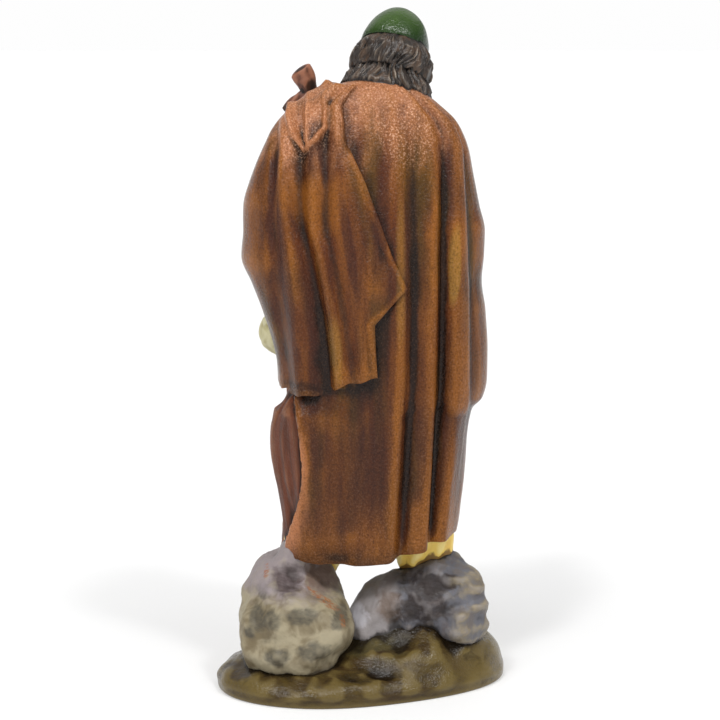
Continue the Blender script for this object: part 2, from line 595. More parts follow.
body = {
    "squareness": 2.4, "columns": 250, "rows": 176,
    # shares of the rows under which it closes inside and above which it closes at the neck, and those points
    "under": 0.045, "top": 0.985, "inside": (-1.3, 3.0, 49.0), "peak": (-4.2, 5.9, 180.9),
    "skirtPitch": 9.5, "drapePitch": 10.5,  # from fold to fold on the tunic's skirt and the drape in front
    # height, left, right, back, front
    "stations": np.array([
        (38.5, 23.8, -26.4, 20.0, -14.0), (52.0, 25.6, -29.2, 21.6, -15.2), (65.0, 27.8, -30.5, 22.8, -16.4),
        (77.0, 28.6, -31.4, 23.6, -17.2), (83.0, 27.9, -32.6, 23.9, -17.6), (87.0, 25.3, -35.9, 24.0, -17.9),
        (92.0, 22.8, -37.0, 24.0, -18.1), (98.0, 23.0, -37.2, 24.0, -18.3), (113.0, 27.0, -36.4, 24.0, -18.5),
        (122.0, 30.4, -35.3, 23.8, -18.4), (129.0, 33.2, -35.9, 23.3, -18.0), (136.0, 32.6, -36.0, 22.7, -17.3),
        (143.0, 32.4, -34.5, 21.9, -16.4), (152.0, 29.7, -32.7, 20.6, -14.6), (160.5, 25.9, -31.0, 18.9, -12.2),
        (167.0, 22.4, -28.1, 17.2, -9.6), (172.0, 18.0, -23.2, 15.6, -7.0), (176.0, 12.4, -18.2, 13.8, -4.4),
        (179.0, 5.5, -12.8, 11.4, -1.2), (180.4, -1.8, -6.6, 8.4, 3.4)]),
    "cloakThickness": 2.2,
    "cloakEdgeTurn": 186.0,
    "foldSpacing": 0.045,
    "foldDepth": 1.35,
    "sideHem": ((-60, 134), (-30, 118), (0, 100), (60, 96), (150, 90), (186, 83.5), (215, 92), (240, 104), (262, 117),
                (282, 128), (300, 134)),
    "bottomHem": ((-60, 45), (0, 44), (22, 41), (50, 39), (80, 38.5), (100, 40.2), (120, 43), (140, 45.2), (160, 46.4),
                  (186, 46.5), (200, 46), (300, 45)),
    # fold lines down the back, left to right: height, x, relief; a line named cut is a sharp valley
    "folds": (
        ("soft", (160, 19.0, 0.0), (88, 19.6, 0.6), (78, 18.2, 0.9), (66, 17.3, 1.0), (57, 18.4, 0.9), (48, 21.6, 0.7),
         (39, 23.4, 0.4)),
        ("soft", (160, 15.0, 0.0), (88, 16.4, -0.1), (66, 14.2, -0.2), (48, 17.4, -0.2), (39, 19.0, -0.2)),
        ("soft", (160, 6.5, 0.2), (120, 6.5, 0.0), (80, 6.6, -0.3), (50, 6.4, -0.5), (39, 6.0, -2.0)),
        ("soft", (160, -7.0, 0.3), (119, -8.0, -0.2), (83, -7.0, -0.2), (42, -4.6, -0.2)),
        ("soft", (163, -11.4, 0.4), (150, -11.5, 0.9), (119, -11.6, 1.2), (83, -10.4, 1.5), (42, -8.1, 1.6)),
        ("cut", (163, -13.7, 0.0), (150, -13.9, -1.0), (119, -14.4, -1.7), (83, -13.4, -2.1), (42, -11.0, -2.4)),
        ("soft", (163, -17.2, 0.2), (119, -17.6, -0.2), (83, -16.8, 0.0), (42, -14.6, 0.2)),
        ("soft", (163, -20.6, 0.6), (146, -20.9, 1.1), (117, -20.6, 1.3), (83, -19.8, 1.4), (43, -18.0, 1.3)),
        ("cut", (163, -22.9, -0.6), (134, -23.2, -2.0), (108, -23.1, -2.4), (76, -22.0, -2.7), (43, -20.4, -2.5)),
        ("soft", (160, -26.0, 1.0), (134, -26.4, 1.2), (108, -26.8, 1.5), (76, -25.4, 1.2), (43, -23.0, 0.8)),
        ("soft", (160, -28.4, 0.6), (145, -28.7, 0.8), (116, -29.6, 0.9), (88, -30.0, 0.7), (76, -28.9, 0.3),
         (43, -25.3, 0.0)),
        ("cut", (160, -29.6, -0.9), (145, -30.9, -1.2), (116, -32.2, -1.4), (92, -32.4, -1.2), (76, -30.4, -0.3),
         (43, -26.0, -0.2)),
    ),
}
stations = body["stations"]
stationReach = np.concatenate([[0], np.cumsum(np.hypot(np.diff(stations[:, 0]),
                                                       np.diff(stations[:, 1] - stations[:, 2]) / 2))])


def reachOf(height):
    return np.interp(height, stations[:, 0], stationReach)


def sectionAt(reach):  # height, centre x, half width, centre y, half depth
    height, left, right, back, front = (smoothCurve(stationReach, column, reach) for column in stations.T)
    return height, (left + right) / 2, (left - right) / 2, (back + front) / 2, (back - front) / 2


def bodyPoint(turn, reach):  # turn 0 is the figure's left, a quarter turn its back
    height, x, halfWidth, y, halfDepth = sectionAt(reach)
    power = 2 / body["squareness"]
    c, s = np.cos(turn), np.sin(turn)
    return np.stack([x + halfWidth * np.sign(c) * np.abs(c) ** power, y + halfDepth * np.sign(s) * np.abs(s) ** power,
                     height + 0 * turn], axis=-1)


def bodyNormal(turn, reach):
    low = np.clip(reach - 0.3, 0, stationReach[-1])
    high = np.clip(reach + 0.3, 0, stationReach[-1])
    across = bodyPoint(turn + 0.01, reach) - bodyPoint(turn - 0.01, reach)
    normal = np.cross(across, bodyPoint(turn, high) - bodyPoint(turn, low))
    return normal / np.linalg.norm(normal, axis=-1, keepdims=True)


def turnAtX(x, height, out=0.0):
    _, centre, halfWidth, _, _ = sectionAt(reachOf(height))
    share = np.clip((x - centre) / (halfWidth + out), -0.9999, 0.9999)
    return np.arccos(np.sign(share) * np.abs(share) ** (body["squareness"] / 2))


def alongDegrees(table, turn):
    degrees, values = zip(*table)
    return smoothCurve(degrees, values, np.degrees(turn))


def foldLines(folds, height, out=0.0):
    turns, reliefs, kinds = [], [], []
    for kind, *line in folds:
        heights, xs, values = (np.array(column, float)[::-1] for column in zip(*line))
        inside = np.minimum(height, heights[-1])
        turns.append(turnAtX(smoothCurve(heights, xs, inside), inside, out))
        reliefs.append(smoothCurve(heights, values, height))
        kinds.append(kind)
    for k in range(1, len(turns)):
        turns[k] = np.maximum(turns[k], turns[k - 1] + body["foldSpacing"])
    return turns, reliefs, kinds


def foldRelief(turn, turns, reliefs, kinds):  # the relief at any turn between the lines
    relief = np.zeros_like(turn)
    for k in range(len(turns) - 1):
        t = (turn - turns[k]) / (turns[k + 1] - turns[k])
        inside = (t >= 0) & (t < 1)
        t = np.clip(t, 0, 1)
        eased = t * t * (3 - 2 * t)
        if kinds[k + 1] == "cut":
            eased = 0.5 * eased + 0.5 * (1 - np.cos(t * math.pi / 2))
        elif kinds[k] == "cut":
            eased = 0.5 * eased + 0.5 * np.sin(t * math.pi / 2)
        relief = np.where(inside, reliefs[k] + (reliefs[k + 1] - reliefs[k]) * eased, relief)
    return relief


def softRelief(turn, turns, reliefs, kinds):  # the same, rubbed down as thick cloth lies
    total = 0.0
    for shift, weight in ((-0.056, 1), (-0.028, 2), (0.0, 2), (0.028, 2), (0.056, 1)):
        total = total + weight * foldRelief(turn + shift, turns, reliefs, kinds)
    return total / 8 * body["foldDepth"]


def drapedBody():
    thickness = body["cloakThickness"]
    edge = math.radians(body["cloakEdgeTurn"])
    covering = {}

    def shape(turn, share):
        turn = turn + 0.34 * np.cos(turn)  # more columns over the back
        turn = np.where(turn > math.radians(300), turn - fullTurn, turn)
        under, top = body["under"], body["top"]
        bottom = reachOf(alongDegrees(body["bottomHem"], turn)) + 0.2 * np.sin(turn * 11) + 0.06 * np.sin(turn * 29)
        upwards = np.clip((share - under) / (top - under), 0, 1)
        reach = bottom + (stationReach[-1] - bottom) * upwards
        side = reachOf(alongDegrees(body["sideHem"], turn))
        height = sectionAt(reach)[0]
        turns, reliefs, kinds = foldLines(body["folds"], height)
        turns.append(edge + 0 * height)
        reliefs.append(0 * height)
        kinds.append("soft")
        relief = softRelief(turn, turns, reliefs, kinds)
        onBack = ramp(turn, turns[0] - 0.035, turns[0] - 0.005) * (1 - ramp(turn, edge, edge + 0.03))
        above = ramp(reach, side - 0.35, side + 0.35)
        covered = np.maximum(onBack, above)
        points, normals = bodyPoint(turn, reach), bodyNormal(turn, reach)
        x, y, z = points.T
        front = (turn < turns[0]) | (turn > edge)
        phase = x * fullTurn / body["skirtPitch"] + 1.6 * np.sin(z / 23) + 1.2 * ripple(x, y, z * 0.3, 20, 7)
        skirt = (0.8 * np.cos(phase) + 0.3 * np.cos(x * fullTurn / 5.1 + z / 31)) * ramp(z, 104, 60)
        skirt = skirt + 0.3 * ripple(x, y, z * 0.3, 5, 3)
        phase = (z - 0.62 * x + 4.0 * np.sin(x / 13 + z / 40)) * fullTurn / body["drapePitch"]
        phase = phase + 1.5 * ripple(x, y, z, 30, 5)
        drape = (0.72 + 0.3 * ripple(x, y, z, 24, 6)) * (np.cos(phase) + 0.3 * np.cos(2 * phase + 1.2))
        drape = drape + 0.2 * ripple(x, y, z, 8, 4)
        drape = drape * ramp(z, 175, 160) * ramp(-y, 0, 8)
        relief = np.where(front, drape * above + skirt * (1 - above), relief)
        gouge = 0.04 * ripple(x, y, z * 0.12, 2.6, 11) + 0.07 * ripple(x, y, z * 0.5, 6.0, 12)
        dome = ramp(-z, -179, -172)
        relief = (relief + gouge) * dome
        low, peak = np.array(body["inside"]), np.array(body["peak"])
        points = points + normals * (relief - thickness * (1 - covered))[:, None]
        inward = np.clip(share / under, 0, 1)[:, None]
        points = np.where(inward < 1, low + (points - low) * inward ** 0.8, points)
        points[:, 2] = np.where(inward[:, 0] < 1, np.minimum(points[:, 2] + (1 - inward[:, 0]) * 4, 52), points[:, 2])
        closing = np.clip((share - top) / (1 - top), 0, 1)[:, None]
        points = points + (peak - points) * closing
        covering["share"] = covered
        return points
    obj = roundForm("cloakAndTunic", body["columns"], body["rows"], shape, "cloakBrown")
    starts, corners = readEach(obj.data.polygons, "loop_start"), readEach(obj.data.loops, "vertex_index")
    bare = sum(covering["share"][corners[starts + k]] for k in range(3)) / 3 < 0.35
    paint = np.where(bare, paintNames.index("tunicRusset"), paintNames.index("cloakBrown"))
    obj.data.polygons.foreach_set("material_index", paint.astype(np.int32))
    return obj


thrown = {
    "thickness": 2.0, "flap": -0.9, "top": 178.7, "backing": 1.55, "columns": 150, "rows": 150,
    "corner": (-12.0, 121), "cornerLift": 1.5,  # the free corner, which lies over the fold beside it
    # three gathers under the shoulder that meet in a point: x, height
    "gathers": (((18.6, 174), (19.0, 168), (18.2, 163.5), (16.2, 160)), ((14.5, 176), (14.8, 168), (14.6, 160)),
                ((10.2, 176), (9.9, 171), (10.2, 166), (12.4, 162.4), (15.0, 160))),
    "gatherWidth": 0.8, "gatherHeight": 1.75,
    "folds": (
        ("soft", (172, 25.6, 0.4), (160, 26.4, 0.5), (142, 27.4, 0.5), (124, 27.4, 0.5), (104, 24.6, 0.4),
         (90, 22.8, 0.2)),
        ("cut", (172, 24.2, -0.2), (142, 25.6, -0.4), (124, 25.0, -0.6), (90, 21.0, -0.3)),
        ("soft", (172, 21.6, 1.2), (151, 23.0, 1.4), (131, 20.8, 1.3), (111, 18.6, 1.2), (90, 17.6, 1.0)),
        ("cut", (172, 17.4, -0.8), (146, 18.4, -1.7), (130, 15.6, -2.0), (118, 13.2, -2.2), (104, 11.6, -2.2),
         (90, 10.4, -2.4)),
        ("soft", (172, 14.0, 0.8), (159, 14.5, 1.0), (140, 14.6, 0.9), (129, 11.8, 1.3), (119, 9.8, 1.4),
         (108, 7.8, 1.3), (90, 6.4, 1.2)),
        ("cut", (172, 10.4, -1.0), (160, 10.4, -1.4), (142, 10.3, -1.6), (129, 8.8, -1.6), (108, 4.6, -1.6),
         (90, 2.6, -1.7)),
        ("soft", (172, 8.7, 0.8), (160, 8.6, 0.9), (146, 7.7, 0.9), (132, 6.0, 0.7), (118, 3.4, 0.5), (90, 0.4, 0.2)),
        ("cut", (172, 7.9, 0.2), (160, 6.9, -0.3), (140, 5.2, -0.5), (118, 1.2, -0.3), (90, -1.2, 0.0)),
        ("soft", (179, 8.2, 0.9), (172, 6.9, 2.0), (160, 5.5, 1.7), (148, 2.6, 1.6), (126, -0.3, 1.5),
         (115, -1.0, 1.5), (108, -1.2, 1.6), (90, -2.4, 1.7)),
    ),
    "edge": ((180, 5.8), (172, 5.4), (166, 4.8), (163, 4.5), (160.6, 4.0), (151, -0.8), (131, -8.6), (121, -13.2),
             (111, -3.6), (108, -2.7), (98, -3.3), (90, -4.2)),
    "frontTurn": ((177, -78), (168, -66), (155, -50), (140, -32), (125, -20), (100, -14), (88, -10)),
    "hem": ((-20, 92), (0, 90.5), (25, 90), (48, 88.6), (58, 91), (66, 92), (78, 94.5), (90, 95.6), (100, 94.5)),
}


def awayFrom(x, z, line):  # distance to a line drawn on the back
    nearest = np.full(x.shape, 99.0)
    for (x0, z0), (x1, z1) in zip(line, line[1:]):
        t = np.clip(((x - x0) * (x1 - x0) + (z - z0) * (z1 - z0)) / ((x1 - x0) ** 2 + (z1 - z0) ** 2), 0, 1)
        nearest = np.minimum(nearest, np.hypot(x - x0 - t * (x1 - x0), z - z0 - t * (z1 - z0)))
    return nearest


def thrownEnd():
    thickness = thrown["thickness"]
    bpy.ops.object.select_all(action="DESELECT")
    bpy.ops.mesh.primitive_grid_add(x_subdivisions=thrown["columns"], y_subdivisions=thrown["rows"], size=2)
    obj = bpy.context.active_object
    obj.name = "thrownEnd"
    unit = readPoints(obj)
    across, down = (unit[:, 0] + 1) / 2, (1 - unit[:, 1]) / 2
    edgeHeights, edgeXs = (np.array(column, float)[::-1] for column in zip(*thrown["edge"]))
    frontHeights, frontDegrees = (column[::-1] for column in zip(*thrown["frontTurn"]))
    top = reachOf(thrown["top"])
    turn = np.radians(-40 + 130 * across)
    reach = top + (reachOf(92.0) - top) * down
    for _ in range(12):  # rows depend on the turn and columns on the height
        height = sectionAt(reach)[0]
        turns, reliefs, kinds = foldLines(thrown["folds"], height, thickness)
        under = np.minimum(height, edgeHeights[-1])
        edge = turnAtX(np.interp(under, edgeHeights, edgeXs), under, thickness)
        edge = np.maximum(edge, turns[-1] + body["foldSpacing"])
        front = np.radians(smoothCurve(frontHeights, frontDegrees, height))
        share = across + 0.10 * np.sin(across * math.pi)  # more columns towards the back
        turn = front + (edge - front) * share
        bottom = reachOf(alongDegrees(thrown["hem"], turn) + 0.35 * np.sin(turn * 17) + 0.25 * np.sin(turn * 31))
        reach = 0.5 * reach + 0.5 * (top + (bottom - top) * down)
    flat = 0 * height
    turns = [front, *turns, (turns[-1] + edge) / 2, edge + 1e-6]
    reliefs = [flat, *reliefs, flat + thrown["flap"] * 0.8, flat + thrown["flap"]]
    kinds = ["soft", *kinds, "soft", "soft"]
    relief = softRelief(np.minimum(turn, edge - 0.05), turns, reliefs, kinds)
    points, normals = bodyPoint(turn, reach), bodyNormal(turn, reach)
    x, y, z = points.T
    gathers = 0.0
    for line in thrown["gathers"]:
        gathers = np.maximum(gathers, np.exp(-(awayFrom(x, z, line) / thrown["gatherWidth"]) ** 2))
    gathers = gathers * thrown["gatherHeight"] * (y > 0) * (1 - 0.8 * ramp(z, 169, 175))
    gouge = 0.04 * ripple(x, y, z * 0.12, 2.6, 21) + 0.06 * ripple(x, y, z * 0.5, 6.0, 22)
    rolled = np.minimum(np.minimum(across, 1 - across), 1 - down)
    rounding = -0.5 * (1 - ramp(rolled, 0.0, 0.012))
    lift = ramp(down, 0.0, 0.035)  # the end comes up from under the collar
    high = ramp(z, 163, 174)
    relief = relief * (1 - 0.75 * high * ramp(x, 8.5, 11.5)) - 0.5 * high
    outward = (thickness + relief + gouge + gathers + rounding) * lift - 1.6 * (1 - lift)
    # high up it slopes from its last fold into the back and shows no edge
    slope = ramp((turn - turns[-3]) / (edge - turns[-3]), 0.0, 0.95) * ramp(z, 157.5, 163)
    outward = outward * (1 - 0.36 * high * ramp(-x, -8, -5))
    outward = outward - (outward + 0.6) * slope
    cornerX, cornerZ = thrown["corner"]
    corner = np.exp(-((x - cornerX) / 4.5) ** 2 - ((z - cornerZ) / 8.0) ** 2) * (y > 0)
    outward = outward + thrown["cornerLift"] * corner
    points = points + normals * outward[:, None]
    writePoints(obj, toMetres(points))
    solid = obj.modifiers.new("thickness", "SOLIDIFY")
    solid.thickness = thickness * thrown["backing"] * 0.001
    solid.offset = -1
    solid.use_even_offset = False
    applyModifiers(obj)
    givePaint(obj, "cloakBrown")
    turnFacesOut(obj)
    return obj


headPlace = {"centre": Vector((-9.0, -4.5, 184.7)), "look": -12, "lean": -8, "bow": 25}
headTurn = (Matrix.Rotation(math.radians(headPlace["look"]), 3, "Z")
            @ Matrix.Rotation(math.radians(headPlace["lean"]), 3, "Y")
            @ Matrix.Rotation(math.radians(headPlace["bow"]), 3, "X"))


def onHead(x, y, z):
    return tuple(headPlace["centre"] + headTurn @ Vector((x, y, z)))


def headBall(name, centre, radii, paint, columns=36, rows=24):
    return ballForm(name, onHead(*centre), radii, paint, headTurn, columns, rows)


def headForm(name, profile, paint, columns, rows, relief=None, shift=0.0):
    # a form about the head's upright axis; profile rows are height, half width, back, front
    profile = np.array(profile, float)
    heights, widths, backs, fronts = profile.T
    path = np.concatenate([[0], np.cumsum(np.hypot(np.diff(heights), np.diff(widths)))])
    path = path / path[-1]
    matrix = np.array(headTurn)

    def shape(turn, share):
        cap = 0.06
        along = np.clip((share - cap) / (1 - 2 * cap), 0, 1)
        inward = np.clip(np.minimum(share, 1 - share) / cap, 0, 1)
        z = smoothCurve(path, heights, along)
        width = smoothCurve(path, widths, along)
        depth = np.where(np.sin(turn) > 0, smoothCurve(path, backs, along), smoothCurve(path, fronts, along))
        swell = relief(turn, z) if relief else 0.0
        local = np.stack([shift + (width + swell) * np.cos(turn) * inward,
                          (depth + swell) * np.sin(turn) * inward, z], axis=1)
        return np.array(headPlace["centre"]) + local @ matrix.T
    return roundForm(name, columns, rows, shape, paint)


def meltTogether(name, forms, voxel, rounds, paint):  # joins forms and softens where they meet, sizes in mm
    pickOnly(*forms)
    bpy.ops.object.join()
    obj = bpy.context.active_object
    obj.name = name
    rough = obj.data.copy()
    for tries in range(6):  # a slightly other grid where the first leaves edges of four faces
        obj.data = rough.copy()
        remesh = obj.modifiers.new("melt", "REMESH")
        remesh.mode = "VOXEL"
        remesh.voxel_size = voxel * (1 + 0.013 * tries) * 0.001
        applyModifiers(obj)
        if not openEdges(obj):
            break
    soften = obj.modifiers.new("soften", "SMOOTH")
    soften.factor = 0.5
    soften.iterations = rounds
    applyModifiers(obj)
    obj.data.materials.clear()
    return givePaint(obj, paint)


def face():
    parts = [headBall("skull", (0, 0.0, 1.2), (8.4, 9.0, 10.4), "skin"),
             headBall("jaw", (0, -3.6, -5.0), (6.6, 6.4, 6.6), "skin"),
             headBall("forehead", (0, -4.6, 4.4), (6.4, 5.6, 4.6), "skin"),
             limbForm("nose", [onHead(0, -8.8, 3.6), onHead(0, -10.6, 1.0), onHead(0, -12.2, -1.5)], [0.9, 1.15, 1.5],
                      "skin", 20, 24),
             headBall("lowerLip", (0, -9.9, -5.3), (1.8, 1.0, 0.8), "skin", 20, 14),
             headBall("upperLip", (0, -10.2, -4.4), (2.0, 0.9, 0.6), "skin", 20, 14)]
    for side in (-1, 1):
        parts.append(headBall("browRidge", (side * 3.3, -8.6, 3.3), (3.0, 1.4, 0.9), "skin", 20, 14))
        parts.append(headBall("cheek", (side * 4.5, -6.6, -1.6), (2.7, 2.6, 2.5), "skin", 24, 16))
        parts.append(headBall("nostril", (side * 1.2, -11.2, -1.9), (0.85, 1.0, 0.75), "skin", 16, 12))
        parts.append(headBall("ear", (side * 8.4, 0.4, -0.6), (1.4, 2.2, 3.0), "skin", 20, 14))
    forms = [meltTogether("face", parts, 0.34, 5, "skin")]
    for side in (-1, 1):
        forms.append(headBall("eyelid", (side * 3.25, -8.35, 1.15), (1.75, 1.25, 1.15), "skin", 24, 18))
        lash = [onHead(side * (3.25 + t * 1.75), -9.6 + 0.75 * t * t, 0.72 + 0.35 * t * t)
                for t in np.linspace(-1, 1, 7)]
        forms.append(limbForm("lash", lash, [0.12, 0.2, 0.24, 0.25, 0.24, 0.2, 0.12], "lashDark", 8, 20))
        brow = [onHead(side * x, y, z) for x, y, z in ((1.3, -10.0, 3.1), (3.1, -9.8, 3.9), (5.4, -8.2, 3.4))]
        forms.append(limbForm("brow", brow, [0.5, 0.75, 0.35], "hairBrown", 12, 24,
                              lambda turn, along: 0.10 * np.sin(along * 60 + 2 * turn)))
    return forms


hair = {
    "upper": [(-5.6, 10.2, 10.0, 3.5), (-4.8, 11.3, 11.2, 4.5), (-2.4, 12.0, 12.0, 5.5), (1.0, 11.6, 12.0, 6.0),
              (4.0, 10.2, 10.6, 8.4), (5.8, 8.9, 9.4, 8.2)],
    "lower": [(-13.6, 8.0, 8.0, 1.5), (-12.8, 12.2, 11.6, 3.0), (-10.8, 13.4, 12.8, 4.0), (-8.0, 12.8, 12.2, 4.4),
              (-5.4, 11.5, 11.2, 4.6), (-3.0, 9.8, 9.8, 4.6)],
    "beard": [(-17.5, 2.4, 2.0, 2.6), (-15.0, 4.8, 3.0, 6.4), (-11.5, 6.6, 4.0, 9.4), (-8.0, 7.6, 4.0, 9.9),
              (-6.0, 7.8, 4.0, 8.4), (-4.0, 7.9, 4.0, 5.0)],
    "cap": [(4.5, 8.8, 9.2, 9.0), (4.6, 10.1, 10.5, 10.3), (6.2, 10.0, 10.4, 10.2), (8.8, 9.3, 9.7, 9.5),
            (11.4, 8.1, 8.5, 8.3), (14.0, 6.0, 6.3, 6.2), (15.9, 3.6, 3.8, 3.7), (16.8, 1.5, 1.6, 1.6)],
}


def cellNoise(u, v, period, seed):  # a smooth random field that closes round the head
    grid = np.random.default_rng(seed).uniform(-1, 1, (period, 64))
    i, j = np.floor(u).astype(int), np.floor(v).astype(int)
    s, t = u - i, v - j
    s, t = s * s * (3 - 2 * s), t * t * (3 - 2 * t)
    near = grid[i % period, j % 64] * (1 - s) + grid[(i + 1) % period, j % 64] * s
    far = grid[i % period, (j + 1) % 64] * (1 - s) + grid[(i + 1) % period, (j + 1) % 64] * s
    return near * (1 - t) + far * t


def lockRelief(count, depth, slope, seed):
    # locks of hair round the head; slope slants them, in locks for each mm of height
    def relief(turn, z):
        share = turn / fullTurn
        swirl = 0.8 * cellNoise(share * 9, z / 6.0 + 3, 9, seed) + 0.35 * cellNoise(share * 18, z / 3.0, 18, seed + 1)
        slide = slope * z + swirl
        lock = cellNoise(share * count + slide, z / 3.6 + 9, count, seed + 2)
        strand = 1 - 2 * np.abs(cellNoise(share * count * 2 + slide * 2, z / 3.0, count * 2, seed + 3))
        hairs = cellNoise(share * count * 5 + slide * 5, z / 2.8, count * 5, seed + 4)
        return depth * (0.6 * lock + 0.55 * strand + 0.42 * hairs) * (1 - 0.85 * ramp(z, 2.6, 5.2))
    return relief


def hairAndCap():
    forms = [
        headForm("upperHair", hair["upper"], "hairBrown", 380, 64, lockRelief(30, 0.78, -0.12, 5)),
        headForm("lowerHair", hair["lower"], "hairBrown", 400, 64, lockRelief(32, 0.76, 0.03, 6)),
        headForm("beard", hair["beard"], "hairBrown", 150, 60, lockRelief(22, 0.55, 0.1, 7)),
        headForm("cap", hair["cap"], "capGreen", 110, 60,
                 lambda turn, z: 0.10 * np.sin(3 * turn + z * 0.3) + 0.07 * np.sin(5 * turn - z * 0.5), 0.5),
    ]
    for side in (-1, 1):
        line = [onHead(side * 0.2, -11.2, -3.6), onHead(side * 2.6, -10.7, -4.5), onHead(side * 5.2, -8.6, -6.8)]
        forms.append(limbForm("moustache", line, [1.1, 1.45, 0.8], "hairBrown", 40, 40,
                              lambda turn, along: 0.16 * np.cos(6 * turn + along * 5)))
    return forms


arms = {"sleeveRadius": 5.2}


def armsAndHands():
    radius = arms["sleeveRadius"]

    def gathers(turn, along):
        return 0.24 * np.cos(along * 31 + 2.2 * np.sin(turn + 6 * along)) + 0.2 * np.cos(3 * turn + along * 9)
    forms = [
        limbForm("leftSleeve", [(27, 1, 131), (28.5, -8, 133), (25.5, -14, 138), (23.8, -16, 140)],
                 [radius * 1.2, radius * 1.15, radius, radius * 0.95], "shirtCream", 48, 60, gathers),
        limbForm("rightSleeve", [(-28, 1, 126), (-27.6, -9, 126.5), (-20, -16.5, 129), (-13.5, -19.4, 132)],
                 [radius * 1.25, radius * 1.2, radius * 1.15, radius * 1.2], "cloakBrown", 56, 70, gathers,
                 bluntness=0.25),
        limbForm("rightCuff", [(-18, -17.5, 130), (-11.2, -20.4, 133)], [radius * 0.9, radius * 0.88],
                 "shirtCream", 40, 24, lambda turn, along: 0.2 * np.cos(9 * turn)),
    ]
    left = [limbForm("leftPalm", [(25, -14.5, 139), (22.5, -17.6, 141), (20.4, -18.4, 141.4)], [3.0, 3.7, 3.0],
                     "skin"),
            limbForm("leftThumb", [(23.4, -16.4, 145), (21.6, -13.4, 147.0)], [1.6, 1.2], "skin", 16, 16)]
    for k in range(4):
        z = 137.4 + 2.3 * k
        left.append(limbForm("leftFinger", [(23.5, -18.6, z + 0.5), (20.6, -19.3, z + 0.2), (17.8, -17.6, z)],
                             [1.4, 1.35, 1.15], "skin", 16, 24))
    right = [limbForm("rightPalm", [(-13, -19.8, 132.4), (-8.5, -20.6, 134.6), (-5.2, -19.9, 136.4)], [3.2, 3.9, 3.2],
                      "skin", 24, 30, None, 0.6)]
    for k in range(4):
        x, z = -6.6 + 1.1 * k, 139.4 - 1.9 * k
        right.append(limbForm("rightFinger", [(x, -20.2, z), (x + 2.7, -19.8, z + 1.5), (x + 5.0, -18.6, z + 2.6)],
                              [1.3, 1.25, 1.05], "skin", 16, 24))
    forms.append(meltTogether("leftHand", left, 0.34, 3, "skin"))
    forms.append(meltTogether("rightHand", right, 0.34, 3, "skin"))
    return forms


staff = {"radius": 2.1, "foot": (24, -23, 9.0), "top": (15.4, -13.2, 173.6)}


def branch():
    foot, top = np.array(staff["foot"], float), np.array(staff["top"], float)
    path, radii = [], []
    for k in range(15):
        share = k / 14
        sway = 0.5 * math.sin(share * 17.0)
        path.append(foot + (top - foot) * share + np.array((sway, -0.3 * sway, 0)))
        radii.append(staff["radius"] * (1.15 + 0.12 * math.sin(share * 31.0) - 0.15 * share))
    path += [np.array((15.9, -13.0, 177.2)), np.array((16.7, -12.9, 179.8)), np.array((18.2, -12.8, 182.0))]
    radii += [2.6, 3.2, 3.3]

    def bark(turn, along):
        return (0.16 * np.cos(5 * turn + 7 * np.sin(along * 21)) + 0.12 * np.sin(along * 150 + 2 * turn)
                + 0.2 * np.sin(along * 47) * np.cos(turn + 1))
    return [limbForm("staff", path, radii, "branchBrown", 36, 260, bark, 1.0, 0.35),
            limbForm("stub", [(16.6, -13.0, 175.4), (20.2, -12.8, 173.0), (22.8, -12.6, 170.4)], [1.7, 1.6, 1.4],
                     "branchBrown", 28, 36, lambda turn, along: 0.15 * np.cos(4 * turn + along * 9), 1.0, 0.3),
            ballForm("staffKnot", (23.4, -21.6, 62), (2.9, 2.7, 2.4), "branchBrown", None, 24, 18)]


def satchelAndBelt():
    bag = ballForm("satchel", (22.8, -8.6, 104.0), (9.0, 6.4, 7.4), "shirtCream",
                   Matrix.Rotation(math.radians(-32), 3, "Z"), 70, 46)
    roughen(bag, 5.0, 1.2)
    forms = [bag, limbForm("satchelFlap", [(16.5, -14.4, 108.6), (22.5, -12.4, 108.4), (28.4, -6.0, 107.6)],
                           [1.7, 2.0, 1.7], "shirtCream", 24, 40)]
    strap = []
    for degrees, height in zip(np.linspace(326, 296, 6), np.linspace(107, 136, 6)):
        turn, reach = np.array(math.radians(degrees)), np.array(reachOf(height))
        strap.append(bodyPoint(turn, reach) - bodyNormal(turn, reach) * 1.3)
    forms.append(limbForm("strap", strap, [1.5] * 6, "shirtCream", 24, 60))
    rope = []
    reach = np.array(reachOf(100.5))
    for turn in np.radians(np.linspace(233, 350, 16)):
        turn = np.array(turn)
        rope.append(bodyPoint(turn, reach) - bodyNormal(turn, reach) * 1.2)

    def twist(turn, along):
        return 0.22 * np.cos(3 * turn + along * 150)
    forms.append(limbForm("ropeBelt", rope, [1.3] * 16, "shirtCream", 24, 240, twist))
    knot = rope[7]
    forms.append(ballForm("ropeKnot", knot + np.array((0, -0.8, 0)), (2.2, 1.8, 2.0), "shirtCream", None, 28, 20))
    for side, drop in ((-1, 15.0), (1, 11.0)):
        line = [knot + np.array((side * 0.6, -1.0, -1)), knot + np.array((side * 1.6, -0.4, -drop * 0.5)),
                knot + np.array((side * 1.9, 0.2, -drop))]
        forms.append(limbForm("ropeEnd", line, [0.9, 0.9, 1.3], "shirtCream", 20, 60,
                              lambda turn, along: 0.15 * np.cos(3 * turn + along * 26)))
    return forms


